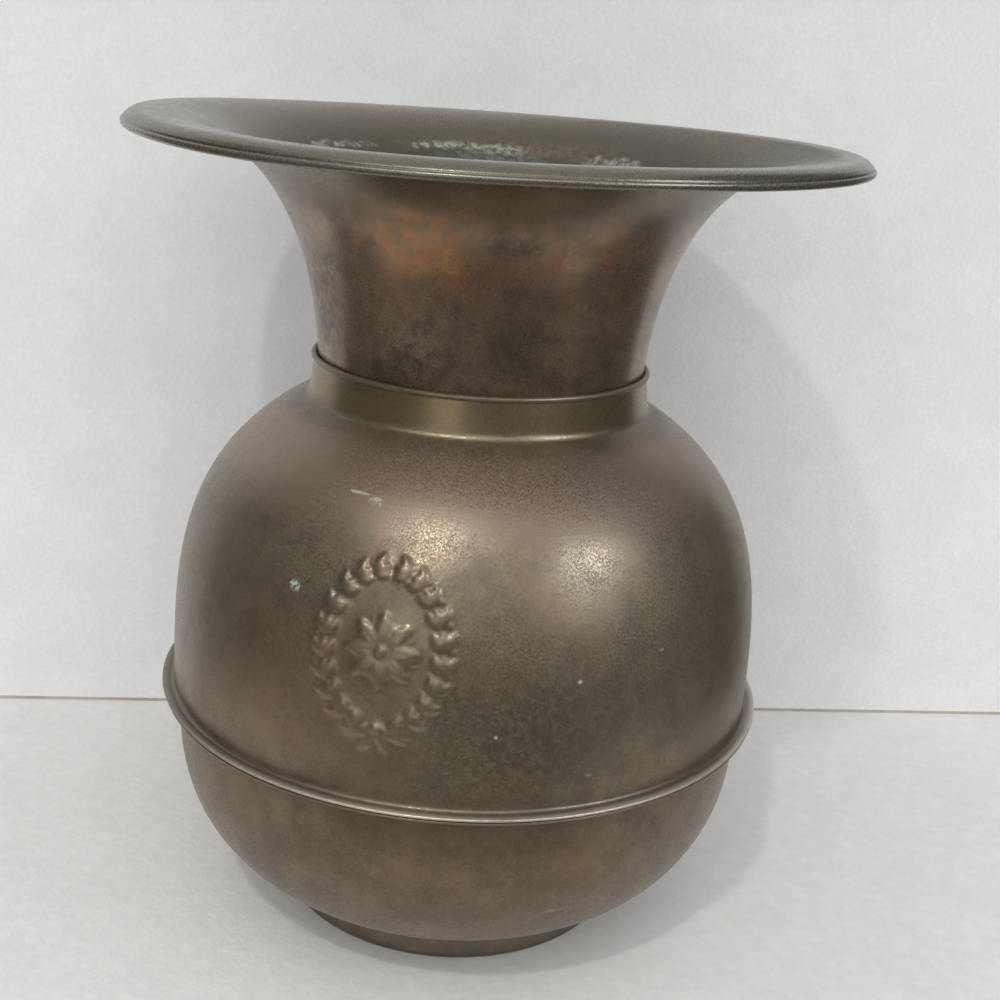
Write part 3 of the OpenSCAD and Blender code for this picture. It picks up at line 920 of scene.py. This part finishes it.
# Painted shadow: a thin dark strip along the foot of the wall.
joint_foot = wall_foot + joint_ahead * np.array([sin(wall_turn), -cos(wall_turn), 0])
joint_shadow_strip = flat_panel("joint_shadow_strip", joint_foot - [0, 0, wall_gap] - wall_half,
                         2 * wall_half, (0, 0, joint_high))
joint_shadow_strip.data.materials.append(pale_paint(
    "joint_painted_shadow", (0.5, 0.45, 0.38), (0.38, 0.34, 0.28), 300, one_sided=True))

# Studio: a small key lamp high on the left and a weaker one on the right, a large panel and a low fill
# between them, and five lamps that only shine in the brass. The room is daylight for the wall and the
# table, and dim with a pale ceiling in the brass.
lamp_away = 1.7
aimed_at = np.array([0, 0, 0.13])
warm_white, cool_white = (1, 0.99, 0.98), (0.98, 1, 1.02)


def standing(right, upward, back, spot):
    """Matrix that puts a lamp or camera at a spot, its own x, y and z along three directions."""
    return Matrix([[right[k], upward[k], back[k], spot[k]] for k in range(3)] + [[0, 0, 0, 1]])


def lamp(name, turned, raised_by, size, power, colour, only_in_brass=False, not_in_brass=False):
    """Round soft lamp that faces the spittoon, turned and raised by degrees from the side that shows. One
    only_in_brass is only mirrored, as shine, and one not_in_brass lights all but makes no shine."""
    w, e = shown_side + radians(turned), radians(raised_by)
    back = np.array([sin(w) * cos(e), -cos(w) * cos(e), sin(e)])
    light = bpy.data.lights.new(name, "AREA")
    light.shape, light.size, light.energy, light.color = "DISK", size, power, colour
    thing = new_object(name, light)
    right = np.cross((0, 0, 1), back)
    right /= np.linalg.norm(right)
    upward = np.cross(back, right)
    thing.matrix_world = standing(right, upward, back, aimed_at + lamp_away * back)
    thing.visible_diffuse = not only_in_brass
    thing.visible_glossy = not not_in_brass


lamp("key_lamp", -18, 50, 0.08, 4.7, warm_white)
lamp("key_lamp_shine", -20, 51, 0.36, 2.2, cool_white, only_in_brass=True)
lamp("left_shine", -42, 48, 0.32, 2, cool_white, only_in_brass=True)
lamp("side_lamp", 56, 33, 0.12, 0.6, warm_white)
lamp("side_lamp_shine", 56, 33.5, 0.26, 8.1, (0.96, 1, 1.14), only_in_brass=True)
lamp("side_shine_low", 42.5, 19, 0.2, 2.6, (0.97, 1, 1.06), only_in_brass=True)
lamp("low_shine", -20, 9, 0.3, 2.6, warm_white, only_in_brass=True)
lamp("front_panel", 8, 38, 1.4, 4.2, warm_white)
lamp("front_fill", -24, 12, 1.2, 4.6, (0.99, 0.995, 1), not_in_brass=True)

world = bpy.data.worlds.new("room")
world.use_nodes = True
bpy.context.scene.world = world
tree = world.node_tree
direction = place(tree, "ShaderNodeTexCoord").outputs["Generated"]
sky_up = place(tree, "ShaderNodeSeparateXYZ", {0: direction}).outputs[2]
upper_half = spread(tree, sky_up, 0.1, 0.95)
daylight = laid_over(tree, upper_half, (0.93, 0.935, 0.94, 1), (0.8, 0.805, 0.81, 1))
mirrored = laid_over(tree, upper_half, (0.07, 0.067, 0.06, 1), (0.62, 0.61, 0.59, 1))
in_brass = place(tree, "ShaderNodeLightPath").outputs["Is Glossy Ray"]
wire(tree, tree.nodes["Background"], {"Color": laid_over(tree, in_brass, daylight, mirrored)})

# Dark cloths: one lies in front of the spittoon, and one hangs on its left and one on its right. They are
# seen only in the brass, as the dark side of the room.
cloth_near, cloth_far = 0.18, 2
hung_high = 0.6
cloth_turn = np.array([
    [cos(shown_side), -sin(shown_side), 0], [sin(shown_side), cos(shown_side), 0],
    [0, 0, 1]])
cloth_black, cloth_tree, cloth_shader = new_material("dark_cloth")
wire(cloth_tree, cloth_shader, {"Base Color": (0.045, 0.042, 0.036, 1), "Roughness": 0.9})
for name, corner, along, upward in (
        ("cloth_in_front", (-cloth_far, -cloth_far, 0.002), (2 * cloth_far, 0, 0),
         (0, cloth_far - cloth_near, 0)),
        ("cloth_at_right", (0.24, 0.13, 0.002), (0, -cloth_far, 0), (0, 0, hung_high)),
        ("cloth_at_left", (-0.275, 0.05, 0.002), (0, -cloth_far, 0), (0, 0, hung_high))):
    cloth = flat_panel(name, cloth_turn @ corner, cloth_turn @ along, cloth_turn @ upward)
    cloth.data.materials.append(cloth_black)
    cloth.visible_camera = cloth.visible_diffuse = cloth.visible_shadow = False

# Camera: it stands where the photograph was taken from, close to the spittoon, and is turned, tipped and
# rolled as it was there.
camera_away = 0.4562
camera_height = 0.2914
camera_yaw = 0.021
camera_pitch = 0.314
camera_roll = -0.0716
camera_lens = 50.15
camera_spot = np.array([
    camera_away * sin(shown_side), -camera_away * cos(shown_side), camera_height])
heading = camera_yaw - shown_side
ahead = np.array([sin(heading) * cos(camera_pitch), cos(heading) * cos(camera_pitch),
                  -sin(camera_pitch)])
level = np.array([cos(heading), -sin(heading), 0])
down = np.cross(ahead, level)
right = cos(camera_roll) * level + sin(camera_roll) * down
below = -sin(camera_roll) * level + cos(camera_roll) * down
camera_data = bpy.data.cameras.new("camera")
camera_data.lens = camera_lens
camera_data.sensor_width = 36
camera_data.clip_start = 0.01
camera = new_object("camera", camera_data)
camera.matrix_world = standing(right, -below, -ahead, camera_spot)
bpy.context.scene.camera = camera
bpy.context.scene.view_settings.view_transform = "Standard"
